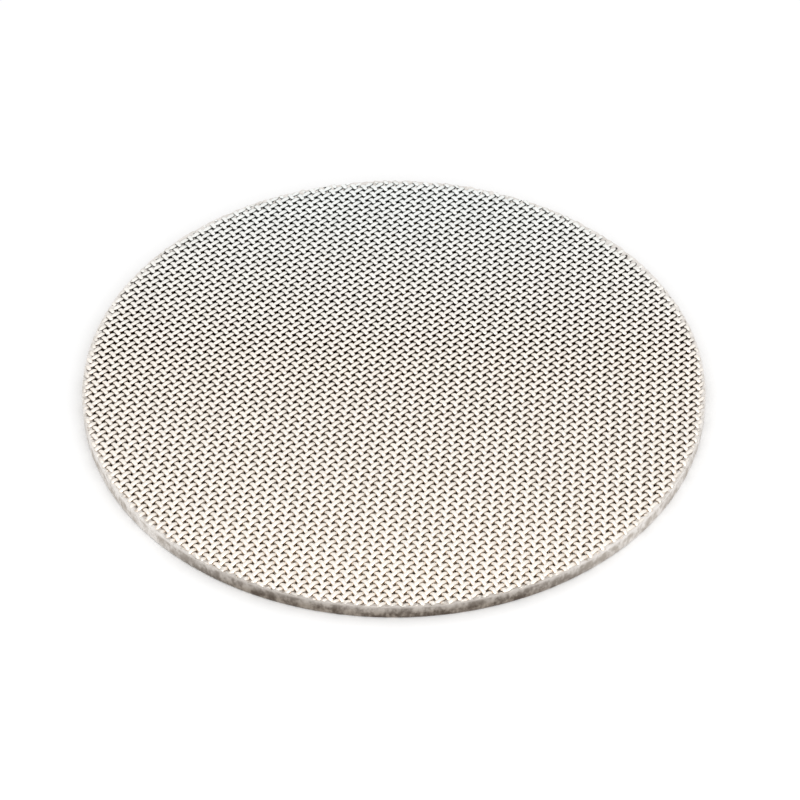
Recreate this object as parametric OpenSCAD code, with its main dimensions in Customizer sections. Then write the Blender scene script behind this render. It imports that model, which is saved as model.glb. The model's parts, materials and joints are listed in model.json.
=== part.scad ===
// Wire mesh filter disc: layers of woven steel wire, rolled flat, fused into one plate and cut round.
// Origin at the centre of the underside, +Z up through the thickness.
// Millimetres and degrees.

/* [Disc] */
// Outside diameter of the cut disc
disc_d = 58.5; // [30:0.1:80]
// Thickness over the flattened wire crowns
thickness = 1.7; // [1.2:0.05:3]
// Fused land between the wire ends and the cut edge
edge_land = 0.06; // [0.02:0.01:0.4]

/* [Face wires] */
// Diameter of the wire on both faces
wire_d = 0.43; // [0.3:0.01:0.55]
// Spacing of neighbouring wires, centre to centre
wire_pitch = 0.724; // [0.6:0.002:1.6]
// Depth that rolling takes off each wire crown
crown_flat = 0.03; // [0.01:0.005:0.08]
// Run of the upper wires, counterclockwise from +X
upper_angle = -49.75; // [-90:0.25:90]
// Turn from the upper wires to the lower wires
crossing_angle = 90; // [60:1:90]

/* [Hidden] */
wire_r = wire_d / 2;
ridge_h = wire_r - crown_flat;
plate_h = thickness - 2 * ridge_h;
field_r = disc_d / 2 - edge_land;
wires_each_side = floor((field_r - wire_r) / wire_pitch);
// Each wire is an eight-sided bar with a flat at its crown
wire_sides = 8;
// Flat cuts around the wire field, each across two or three wire ends
field_cuts = 96;
rim_steps = 96;

// Parallel wires in one plane, the middle one over the origin
module wire_row(angle) {
    rotate([0, 0, angle])
        for (index = [-wires_each_side : wires_each_side])
            translate([0, index * wire_pitch, 0])
                rotate([0, 90, 0])
                    rotate([0, 0, 180 / wire_sides])
                        cylinder(d = wire_d, h = disc_d, center = true, $fn = wire_sides);
}

// Room that the wires fill: level at the two faces, cut off around the rim
module wire_field() {
    linear_extrude(height = thickness)
        polygon([
            for (cut = [0 : field_cuts - 1])
                field_r * [cos(cut * 360 / field_cuts), sin(cut * 360 / field_cuts)]
        ]);
}

// Both rows of wires, with their crowns rolled level at the faces
module face_wires() {
    intersection() {
        wire_field();
        union() {
            translate([0, 0, thickness - ridge_h])
                wire_row(upper_angle);
            translate([0, 0, ridge_h])
                wire_row(upper_angle + crossing_angle);
        }
    }
}

// Fused layers between the two faces, with the plain cut edge
module fused_plate() {
    translate([0, 0, ridge_h])
        cylinder(d = disc_d, h = plate_h, $fn = rim_steps);
}

module mesh_disc() {
    color("silver")
        union() {
            fused_plate();
            face_wires();
        }
}

mesh_disc();
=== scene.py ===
import json
from math import cos, floor, hypot, pi, radians, sin, sqrt

import bmesh
import bpy
from mathutils import Matrix, Vector, noise


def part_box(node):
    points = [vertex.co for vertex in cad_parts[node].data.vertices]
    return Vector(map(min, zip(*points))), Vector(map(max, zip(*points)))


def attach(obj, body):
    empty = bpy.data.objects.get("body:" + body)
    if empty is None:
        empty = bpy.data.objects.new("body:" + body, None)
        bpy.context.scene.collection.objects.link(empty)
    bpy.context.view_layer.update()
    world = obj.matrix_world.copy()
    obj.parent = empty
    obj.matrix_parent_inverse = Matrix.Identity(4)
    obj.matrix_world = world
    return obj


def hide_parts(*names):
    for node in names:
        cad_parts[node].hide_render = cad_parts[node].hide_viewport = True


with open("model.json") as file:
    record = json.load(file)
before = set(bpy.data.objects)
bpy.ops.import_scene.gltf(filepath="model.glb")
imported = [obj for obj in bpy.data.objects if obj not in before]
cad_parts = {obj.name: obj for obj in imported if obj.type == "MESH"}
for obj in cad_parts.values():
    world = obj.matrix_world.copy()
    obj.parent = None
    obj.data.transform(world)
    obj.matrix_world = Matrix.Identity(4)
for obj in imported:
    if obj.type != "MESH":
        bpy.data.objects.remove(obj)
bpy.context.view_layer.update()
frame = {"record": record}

# Upper face cloth: drawn stainless wire in a plain weave, one set running down to the right and the
# other up to the right. Each wire is crimped over and under the ones that it crosses, rolled flatter
# and level at its crowns, fused where it touches, and crushed down where it was cut off at the rim.
MM = 0.001
rim_mount = next(mount for mount in frame["record"]["mounts"] if mount["name"] == "rim")
disc_r = rim_mount["dims"]["r_mm"]
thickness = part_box("mesh_disc")[1][2] / MM
wire_w = 0.42
wire_h = 0.29
wire_sides = 6
wire_pitch = 0.724
first_crimp = 0.168
second_crimp = 0.084
rings_per_pitch = 3
crown_share = cos(pi / (2 * rings_per_pitch))
cloth_h = 2 * max(first_crimp, second_crimp) + wire_h
first_set_angle = radians(-49.75)
sway = 0.02
sway_length = 5.0
cut_inset = 0.10
cut_r = disc_r - cut_inset
edge_fall = 0.12
edge_fall_w = 0.50


def blank_wire(width, height, step, steps):
    """A straight open length of wire along X, centred, from which the wires of a row are cut."""
    wire = bmesh.new()
    start = Matrix.Translation((-step * steps / 2, 0, 0)) @ Matrix.Rotation(pi / 2, 4, "Y")
    bmesh.ops.create_circle(wire, segments=wire_sides, radius=width / 2, matrix=start)
    bmesh.ops.spin(wire, geom=wire.verts[:] + wire.edges[:], axis=(1, 0, 0), dvec=(step, 0, 0), steps=steps)
    flatter = height / (width * cos(pi / wire_sides))
    bmesh.ops.scale(wire, vec=(1, 1, flatter), verts=wire.verts[:])
    blank = bpy.data.meshes.new("blank")
    wire.to_mesh(blank)
    wire.free()
    return blank


def cut_wire(blank, across, along_shift):
    """A wire at that distance across the disc, its ends cut square to the disc's radius and closed."""
    wire = bmesh.new()
    wire.from_mesh(blank)
    bmesh.ops.translate(wire, verts=wire.verts[:], vec=(along_shift, across, 0))
    reach = sqrt(cut_r ** 2 - across ** 2)
    for side in (-1, 1):
        end = Vector((side * reach, across, 0))
        whole = wire.verts[:] + wire.edges[:] + wire.faces[:]
        cut = bmesh.ops.bisect_plane(wire, geom=whole, plane_co=end, plane_no=end, clear_outer=True)
        loop = [part for part in cut["geom_cut"] if isinstance(part, bmesh.types.BMEdge)]
        bmesh.ops.edgeloop_fill(wire, edges=loop)
    return wire


def add_to_row(row, wire):
    """Moves a finished wire into the mesh of its whole row."""
    carrier = bpy.data.meshes.new("carrier")
    wire.to_mesh(carrier)
    wire.free()
    row.from_mesh(carrier)
    bpy.data.meshes.remove(carrier)


def crimped_row(angle, middle_z, across_shift, along_shift, rise, fall):
    """All the wires of one set, each over and under the set that crosses it."""
    row = bmesh.new()
    most = floor(disc_r / wire_pitch)
    blank = blank_wire(wire_w, wire_h, wire_pitch / rings_per_pitch, 2 * rings_per_pitch * (most + 2) + 1)
    for index in range(-most, most + 1):
        across = index * wire_pitch + across_shift
        if abs(across) + wire_w / 2 > cut_r:
            continue
        wire = cut_wire(blank, across, along_shift)
        for vert in wire.verts:
            wave = cos(pi * ((vert.co.x - along_shift) / wire_pitch + index)) / crown_share
            vert.co.z += rise * max(-1, min(1, wave))
            vert.co.y += sway * noise.noise((vert.co.x / sway_length, index, middle_z + angle))
        add_to_row(row, wire)
    bpy.data.meshes.remove(blank)
    for vert in row.verts:
        share = max(0, hypot(vert.co.x, vert.co.y) - disc_r + edge_fall_w) / edge_fall_w
        vert.co.z -= fall * share ** 2
    row.transform(Matrix.Translation((0, 0, middle_z)) @ Matrix.Rotation(angle, 4, "Z"))
    return row


def steel_piece(name, shape, material, crease):
    """Makes a shape in millimetres one piece of the disc, in metres."""
    shape.transform(Matrix.Scale(MM, 4))
    bmesh.ops.recalc_face_normals(shape, faces=shape.faces[:])
    mesh = bpy.data.meshes.new(name)
    shape.to_mesh(mesh)
    shape.free()
    mesh.shade_smooth()
    mesh.set_sharp_from_angle(angle=crease)
    mesh.materials.append(material)
    piece = bpy.data.objects.new(name, mesh)
    bpy.context.scene.collection.objects.link(piece)
    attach(piece, "root")
    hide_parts("mesh_disc")


def linear(hex_colour):
    """An sRGB hex colour as linear red, green, blue and alpha."""
    parts = [int(hex_colour[k:k + 2], 16) / 255 for k in (1, 3, 5)]
    return [c / 12.92 if c <= 0.04045 else ((c + 0.055) / 1.055) ** 2.4 for c in parts] + [1.0]


def add_node(tree, kind, inputs=(), **settings):
    """A new node with its settings, and its inputs given as values or as sockets to link."""
    node = tree.nodes.new(kind)
    for name, value in settings.items():
        setattr(node, name, value)
    for socket, value in dict(inputs).items():
        if isinstance(value, bpy.types.NodeSocket):
            tree.links.new(value, node.inputs[socket])
        else:
            node.inputs[socket].default_value = value
    return node


def millimetre_place(tree):
    """The place on the piece in millimetres, as a vector socket."""
    place = add_node(tree, "ShaderNodeTexCoord").outputs["Object"]
    return add_node(tree, "ShaderNodeVectorMath", {0: place, "Scale": 1 / MM}, operation="SCALE").outputs[0]


# Drawn stainless wire after fusing and rolling: bright and pale on the crowns, browner down in the crevices
# that rolling doesn't reach and darker there as painted shade, faintly cloudy, and greyer at the cut rim. The
# tint of the firing runs across the disc, cool at the back and warm in the middle; in front the crevices are
# painted pale, as painted light.
crown_colour = "#fff8ef"
cool_crown_colour = "#f9fbf9"
cloudy_share = 0.90
cloud_clear, cloud_thick = 0.3, 0.7
# Crevice colours: a brown tint of the firing, darkened further as painted shade.
crevice_tint_and_shade_colour = "#361a00"
cool_crevice_tint_and_shade_colour = "#3c3f3f"
# Painted light: the crevices in front are painted pale.
front_crevice_painted_light_colour = "#f7ebde"
cool_from, cool_to = 2.0, 27.0
front_from, front_to = 5.0, -24.0
rim_wire_colour = "#d8d3cc"
bright_to = 0.20
crevice_from = 0.25
cloud_size = 1.1
# The drawn skin's own grain, about 0.01 mm, is too fine to show: it is drawn coarser.
grain_size = 0.08
grain_depth = 0.004
rim_rag = 0.9
rim_tone_from, rim_tone_to = 0.15, 0.40
wire_gloss, wire_haze = 0.28, 0.46
# A Mix node's two colours are its inputs 6 and 7, and their mix is its output 2.
tone_a, tone_b, mixed = 6, 7, 2
face_steel = bpy.data.materials.new("drawn_stainless_wire")
face_steel.use_nodes = True
tree = face_steel.node_tree
steel = tree.nodes["Principled BSDF"]
place = millimetre_place(tree)
axes = add_node(tree, "ShaderNodeSeparateXYZ", {0: place}).outputs
above_middle = add_node(
    tree, "ShaderNodeMath", {0: axes["Z"], 1: thickness / 2}, operation="SUBTRACT",
).outputs[0]
off_middle = add_node(tree, "ShaderNodeMath", {0: above_middle}, operation="ABSOLUTE").outputs[0]
# Painted shade: the wire takes the dark crevice colour with depth below the disc's face.
crown_vs_painted_shade = add_node(
    tree, "ShaderNodeMapRange",
    {"Value": off_middle, "From Min": thickness / 2 - crevice_from, "From Max": thickness / 2 - bright_to},
    interpolation_type="SMOOTHSTEP",
).outputs["Result"]
cloud = add_node(
    tree, "ShaderNodeTexNoise", {"Vector": place, "Scale": 1 / cloud_size, "Detail": 3.0},
).outputs["Fac"]
to_back = add_node(
    tree, "ShaderNodeMapRange", {"Value": axes["Y"], "From Min": cool_from, "From Max": cool_to},
).outputs["Result"]
# Painted light: the crevices grow paler towards the front of the disc.
front_painted_light = add_node(
    tree, "ShaderNodeMapRange", {"Value": axes["Y"], "From Min": front_from, "From Max": front_to},
).outputs["Result"]
crown = add_node(
    tree, "ShaderNodeMix",
    {"Factor": to_back, tone_a: linear(crown_colour), tone_b: linear(cool_crown_colour)},
    data_type="RGBA",
).outputs[mixed]
cloudy = add_node(
    tree, "ShaderNodeMapRange",
    {"Value": cloud, "From Min": cloud_clear, "From Max": cloud_thick, "To Min": 1.0, "To Max": cloudy_share},
).outputs["Result"]
crown = add_node(tree, "ShaderNodeVectorMath", {0: crown, "Scale": cloudy}, operation="SCALE").outputs[0]
# Painted shade, with the firing's brown tint: the crevice colour, cool at the back.
shaded_crevice_tone = add_node(
    tree, "ShaderNodeMix",
    {"Factor": to_back, tone_a: linear(crevice_tint_and_shade_colour), tone_b: linear(cool_crevice_tint_and_shade_colour)},
    data_type="RGBA",
).outputs[mixed]
shaded_crevice_tone = add_node(
    tree, "ShaderNodeMix", {"Factor": front_painted_light, tone_a: shaded_crevice_tone, tone_b: linear(front_crevice_painted_light_colour)},
    data_type="RGBA",
).outputs[mixed]
wire_tone = add_node(
    tree, "ShaderNodeMix", {"Factor": crown_vs_painted_shade, tone_a: shaded_crevice_tone, tone_b: crown}, data_type="RGBA",
).outputs[mixed]
flat_place = add_node(
    tree, "ShaderNodeVectorMath", {0: place, 1: (1, 1, 0)}, operation="MULTIPLY",
).outputs[0]
from_axis = add_node(tree, "ShaderNodeVectorMath", {0: flat_place}, operation="LENGTH").outputs["Value"]
ragged = add_node(
    tree, "ShaderNodeMath", {0: cloud, 1: rim_rag, 2: from_axis}, operation="MULTIPLY_ADD",
).outputs[0]
at_rim = add_node(
    tree, "ShaderNodeMapRange",
    {"Value": ragged, "From Min": disc_r + rim_tone_from, "From Max": disc_r + rim_tone_to},
    interpolation_type="SMOOTHSTEP",
).outputs["Result"]
whole_tone = add_node(
    tree, "ShaderNodeMix", {"Factor": at_rim, tone_a: wire_tone, tone_b: linear(rim_wire_colour)},
    data_type="RGBA",
).outputs[mixed]
tree.links.new(whole_tone, steel.inputs["Base Color"])
steel.inputs["Metallic"].default_value = 1.0
dullness = add_node(
    tree, "ShaderNodeMapRange", {"Value": cloud, "To Min": wire_gloss, "To Max": wire_haze},
).outputs["Result"]
tree.links.new(dullness, steel.inputs["Roughness"])
grain = add_node(
    tree, "ShaderNodeTexNoise", {"Vector": place, "Scale": 1 / grain_size, "Detail": 2.0},
).outputs["Fac"]
skin = add_node(tree, "ShaderNodeBump", {"Height": grain, "Distance": grain_depth * MM}).outputs["Normal"]
tree.links.new(skin, steel.inputs["Normal"])

wire_crease = radians(70)
upper_middle = thickness - cloth_h / 2
half_pitch = wire_pitch / 2
second_set_angle = first_set_angle + pi / 2
steel_piece(
    "upper_first_wires",
    crimped_row(first_set_angle, upper_middle, 0, half_pitch, -first_crimp, edge_fall),
    face_steel, wire_crease,
)
steel_piece(
    "upper_second_wires",
    crimped_row(second_set_angle, upper_middle, -half_pitch, 0, second_crimp, edge_fall),
    face_steel, wire_crease,
)

# Lower face cloth: the same woven wire as on top, so the disc lies on its rolled crowns, and its ends
# are crushed up at the rim.
lower_middle = cloth_h / 2
steel_piece(
    "lower_first_wires",
    crimped_row(first_set_angle, lower_middle, 0, half_pitch, -first_crimp, -edge_fall),
    face_steel, wire_crease,
)
steel_piece(
    "lower_second_wires",
    crimped_row(second_set_angle, lower_middle, -half_pitch, 0, second_crimp, -edge_fall),
    face_steel, wire_crease,
)

# Fine filter screens: straight thin wires between the two cloths, set at half a right angle to them,
# in two crossing rows under each cloth. They show as specks at the bottom of the openings.
fine_w = 0.22
fine_pitch = 0.41
fine_angle = first_set_angle - pi / 4
# Fired fine stainless wire, which the rolling doesn't reach: clouded from straw to dark brown, its darkness
# partly painted shade at the bottom of the openings, and painted pale in front as the crevices are, as
# painted light.
fine_colour = "#b89058"
# Painted shade in part: the dark end of the fine wire's clouding.
fine_dark_tint_and_shade_colour = "#5e3e14"
# Painted light: the fine wire is painted pale in front.
front_fine_painted_light_colour = "#f6ebdc"
fine_gloss, fine_haze = 0.30, 0.50
fine_steel = bpy.data.materials.new("fine_filter_wire")
fine_steel.use_nodes = True
tree = fine_steel.node_tree
steel = tree.nodes["Principled BSDF"]
place = millimetre_place(tree)
axes = add_node(tree, "ShaderNodeSeparateXYZ", {0: place}).outputs
cloud = add_node(
    tree, "ShaderNodeTexNoise", {"Vector": place, "Scale": 1 / cloud_size, "Detail": 3.0},
).outputs["Fac"]
# Painted shade in part: the fine wire is kept dark at the bottom of the openings.
fine_tint_and_shade_tone = add_node(
    tree, "ShaderNodeMix", {"Factor": cloud, tone_a: linear(fine_colour), tone_b: linear(fine_dark_tint_and_shade_colour)},
    data_type="RGBA",
).outputs[mixed]
# Painted light: the fine wire grows paler towards the front of the disc.
front_painted_light = add_node(
    tree, "ShaderNodeMapRange", {"Value": axes["Y"], "From Min": front_from, "From Max": front_to},
).outputs["Result"]
fine_tone = add_node(
    tree, "ShaderNodeMix", {"Factor": front_painted_light, tone_a: fine_tint_and_shade_tone, tone_b: linear(front_fine_painted_light_colour)},
    data_type="RGBA",
).outputs[mixed]
tree.links.new(fine_tone, steel.inputs["Base Color"])
steel.inputs["Metallic"].default_value = 1.0
dullness = add_node(
    tree, "ShaderNodeMapRange", {"Value": cloud, "To Min": fine_gloss, "To Max": fine_haze},
).outputs["Result"]
tree.links.new(dullness, steel.inputs["Roughness"])


def laid_row(angle, middle_z):
    """Straight parallel fine wires across the whole disc."""
    row = bmesh.new()
    blank = blank_wire(fine_w, fine_w, 2 * disc_r + fine_pitch, 1)
    most = floor((cut_r - fine_w) / fine_pitch)
    for index in range(-most, most + 1):
        add_to_row(row, cut_wire(blank, index * fine_pitch, 0))
    bpy.data.meshes.remove(blank)
    row.transform(Matrix.Translation((0, 0, middle_z)) @ Matrix.Rotation(angle, 4, "Z"))
    return row


upper_screen = thickness - cloth_h
lower_screen = cloth_h
steel_piece("upper_screen_outer", laid_row(fine_angle, upper_screen), fine_steel, wire_crease)
steel_piece(
    "upper_screen_inner", laid_row(fine_angle + pi / 2, upper_screen - fine_w), fine_steel, wire_crease,
)
steel_piece(
    "lower_screen_inner", laid_row(fine_angle + pi / 2, lower_screen + fine_w), fine_steel, wire_crease,
)
steel_piece("lower_screen_outer", laid_row(fine_angle, lower_screen), fine_steel, wire_crease)

# Cut edge: the fused ends of all the layers, run together round the rim where the disc was cut out,
# with a fused land inside it over the last openings. Its wall is dented and its shoulders are ragged.
# Each point of its section is a distance in from the rim and a height.
rim_section = [
    (1.05, 1.05), (0.70, 1.34), (0.30, 1.46), (0.06, 1.51), (0.02, 1.49), (0.00, 1.40),
    (0.00, 0.40), (0.03, 0.18), (0.11, 0.07), (0.25, 0.07), (1.05, 0.50),
]
rim_steps = 720
dent = 0.03
dent_size = 0.9
shoulder_dent = 0.20
shoulder_size = 0.5
shoulder_drop = 0.02
ring = bmesh.new()
corners = [ring.verts.new((disc_r - inset, 0, height)) for inset, height in rim_section]
for corner, following in zip(corners, corners[1:] + corners[:1]):
    ring.edges.new((corner, following))
bmesh.ops.spin(
    ring, geom=ring.verts[:] + ring.edges[:], axis=(0, 0, 1), angle=2 * pi, steps=rim_steps, use_merge=True,
)
for vert in ring.verts:
    inward = -Vector((vert.co.x, vert.co.y, 0)).normalized()
    depth = 0.5 + 0.5 * noise.noise(vert.co / dent_size)
    rise = noise.noise(Vector((vert.co.x, vert.co.y, 0)) / shoulder_size)
    if vert.co.z > thickness / 2:
        vert.co.z += shoulder_dent * rise - shoulder_drop
    vert.co += dent * depth * inward

# Thermally cut stainless edge: pale where it is bare, as along its top, straw grey where it is tinted,
# mottled and pitted down the wall, and darker and browner towards the floor and most on the front stretch, as
# painted shade.
bare_colour = "#ece8e4"
tinted_colour = "#bdb5ac"
# Painted shade: the dark tone of the wall's front stretch, with lighter mottled spots.
front_shade_colour = "#594e44"
front_shade_spot_colour = "#9c9287"
patch_size = 1.1
streak_size = 0.26
streak_squeeze = (1, 1, 0.6)
streak_share = 0.45
bare_mottle, tinted_mottle = 0.54, 0.90
bare_above, tinted_below = 1.52, 1.22
front_shade_side = (-0.04, -0.999, 0)
front_shade_from, front_shade_to = 19.6, 28.0
least_front_shade, most_front_shade = 0.15, 1.15
# The painted shade fades upwards so slowly that it would end above the disc.
unshaded_height, fully_shaded_height = 2.70, 0.35
edge_gloss, edge_haze = 0.40, 0.65
pit_size = 0.22
pit_depth = 0.03
edge_crease = radians(50)
rim_steel = bpy.data.materials.new("cut_stainless_edge")
rim_steel.use_nodes = True
tree = rim_steel.node_tree
steel = tree.nodes["Principled BSDF"]
place = millimetre_place(tree)
axes = add_node(tree, "ShaderNodeSeparateXYZ", {0: place}).outputs
patch = add_node(
    tree, "ShaderNodeTexNoise", {"Vector": place, "Scale": 1 / patch_size, "Detail": 4.0},
).outputs["Fac"]
down_wall = add_node(
    tree, "ShaderNodeVectorMath", {0: place, 1: streak_squeeze}, operation="MULTIPLY",
).outputs[0]
streak = add_node(
    tree, "ShaderNodeTexNoise", {"Vector": down_wall, "Scale": 1 / streak_size, "Detail": 2.0},
).outputs["Fac"]
mottle = add_node(
    tree, "ShaderNodeMath", {0: streak, 1: streak_share, 2: patch}, operation="MULTIPLY_ADD",
).outputs[0]
tint = add_node(
    tree, "ShaderNodeMapRange", {"Value": mottle, "From Min": bare_mottle, "From Max": tinted_mottle},
    interpolation_type="SMOOTHSTEP",
).outputs["Result"]
below_top = add_node(
    tree, "ShaderNodeMapRange", {"Value": axes["Z"], "From Min": bare_above, "From Max": tinted_below},
).outputs["Result"]
tint = add_node(tree, "ShaderNodeMath", {0: tint, 1: below_top}, operation="MULTIPLY").outputs[0]
# Painted shade: the wall darkens towards the floor, and most along its front stretch.
toward_front_shade = add_node(
    tree, "ShaderNodeVectorMath", {0: place, 1: front_shade_side}, operation="DOT_PRODUCT",
).outputs["Value"]
front_shade_share = add_node(
    tree, "ShaderNodeMapRange",
    {
        "Value": toward_front_shade, "From Min": front_shade_from, "From Max": front_shade_to,
        "To Min": least_front_shade, "To Max": most_front_shade,
    },
    interpolation_type="SMOOTHSTEP",
).outputs["Result"]
shade_low_down = add_node(
    tree, "ShaderNodeMapRange", {"Value": axes["Z"], "From Min": unshaded_height, "From Max": fully_shaded_height},
).outputs["Result"]
painted_rim_shade = add_node(
    tree, "ShaderNodeMath", {0: front_shade_share, 1: shade_low_down}, operation="MULTIPLY", use_clamp=True,
).outputs[0]
plain = add_node(
    tree, "ShaderNodeMix", {"Factor": tint, tone_a: linear(bare_colour), tone_b: linear(tinted_colour)},
    data_type="RGBA",
).outputs[mixed]
# Painted shade: the darker, browner tone of the front stretch and the lower wall.
front_shade_tone = add_node(
    tree, "ShaderNodeMix", {"Factor": tint, tone_a: linear(front_shade_spot_colour), tone_b: linear(front_shade_colour)},
    data_type="RGBA",
).outputs[mixed]
edge_tone = add_node(
    tree, "ShaderNodeMix", {"Factor": painted_rim_shade, tone_a: plain, tone_b: front_shade_tone}, data_type="RGBA",
).outputs[mixed]
tree.links.new(edge_tone, steel.inputs["Base Color"])
steel.inputs["Metallic"].default_value = 0.7
dullness = add_node(
    tree, "ShaderNodeMapRange", {"Value": patch, "To Min": edge_gloss, "To Max": edge_haze},
).outputs["Result"]
tree.links.new(dullness, steel.inputs["Roughness"])
pits = add_node(
    tree, "ShaderNodeTexNoise", {"Vector": place, "Scale": 1 / pit_size, "Detail": 3.0},
).outputs["Fac"]
skin = add_node(tree, "ShaderNodeBump", {"Height": pits, "Distance": pit_depth * MM}).outputs["Normal"]
tree.links.new(skin, steel.inputs["Normal"])
steel_piece("cut_edge", ring, rim_steel, edge_crease)

# Floor: a plain sheet of matt white paper, much larger than the disc, which keeps the disc's own soft
# shadow. It is lifted slightly towards white where it is seen, straight or mirrored.
floor_half = 600
paper_colour = "#f1f1f1"
paper_lift = 0.06
sheet = bmesh.new()
bmesh.ops.create_grid(sheet, x_segments=1, y_segments=1, size=floor_half * MM)
floor_mesh = bpy.data.meshes.new("floor")
sheet.to_mesh(floor_mesh)
sheet.free()
floor_object = bpy.data.objects.new("floor", floor_mesh)
bpy.context.scene.collection.objects.link(floor_object)
paper = bpy.data.materials.new("white_paper")
paper.use_nodes = True
tree = paper.node_tree
matt = tree.nodes["Principled BSDF"]
matt.inputs["Base Color"].default_value = linear(paper_colour)
matt.inputs["Roughness"].default_value = 0.9
matt.inputs["Specular IOR Level"].default_value = 0.0
ray = add_node(tree, "ShaderNodeLightPath").outputs
seen = add_node(
    tree, "ShaderNodeMath", {0: ray["Is Camera Ray"], 1: ray["Is Glossy Ray"]}, operation="MAXIMUM",
).outputs[0]
seen = add_node(
    tree, "ShaderNodeMath", {0: seen, 1: ray["Is Transmission Ray"]}, operation="MAXIMUM",
).outputs[0]
lift = add_node(tree, "ShaderNodeMath", {0: seen, 1: paper_lift}, operation="MULTIPLY").outputs[0]
matt.inputs["Emission Color"].default_value = linear("#ffffff")
tree.links.new(lift, matt.inputs["Emission Strength"])
floor_mesh.materials.append(paper)

# Studio light: a plain white room all round, which the bright crowns mirror, and a broad soft box over
# the front of the disc.
room_level = 1.03
box_w = 140
box_watts = 0.06
box_place = Vector((20, -120, 90))
box_aim = Vector((0, -20, 0))
world = bpy.data.worlds.new("white_room")
world.use_nodes = True
bpy.context.scene.world = world
tree = world.node_tree
room = tree.nodes["Background"]
room.inputs["Color"].default_value = linear("#ffffff")
room.inputs["Strength"].default_value = room_level
box_lamp = bpy.data.lights.new("soft_box", "AREA")
box_lamp.shape = "DISK"
box_lamp.size = box_w * MM
box_lamp.energy = box_watts
box_object = bpy.data.objects.new("soft_box", box_lamp)
bpy.context.scene.collection.objects.link(box_object)
box_object.location = MM * box_place
box_object.rotation_euler = (box_aim - box_place).to_track_quat("-Z", "Y").to_euler()
box_object.visible_camera = False

# Camera: a long lens looking down at the disc from the front, aimed a little right of the disc's middle
# and a little below it.
lens_mm = 146.7
camera_rise = radians(43.38)
camera_distance = 306.2
camera_right = 0.575
camera_down = 2.10
lens = bpy.data.cameras.new("camera")
lens.lens = lens_mm
lens.sensor_width = 36.0
lens.clip_start = 0.01
camera = bpy.data.objects.new("camera", lens)
bpy.context.scene.collection.objects.link(camera)
forward = Vector((0, cos(camera_rise), -sin(camera_rise)))
down = Vector((0, -sin(camera_rise), -cos(camera_rise)))
aim = Vector((camera_right, 0, thickness)) + camera_down * down
camera.location = MM * (aim - camera_distance * forward)
camera.rotation_euler = (pi / 2 - camera_rise, 0, 0)
bpy.context.scene.camera = camera

bpy.context.scene.view_settings.view_transform = "Standard"
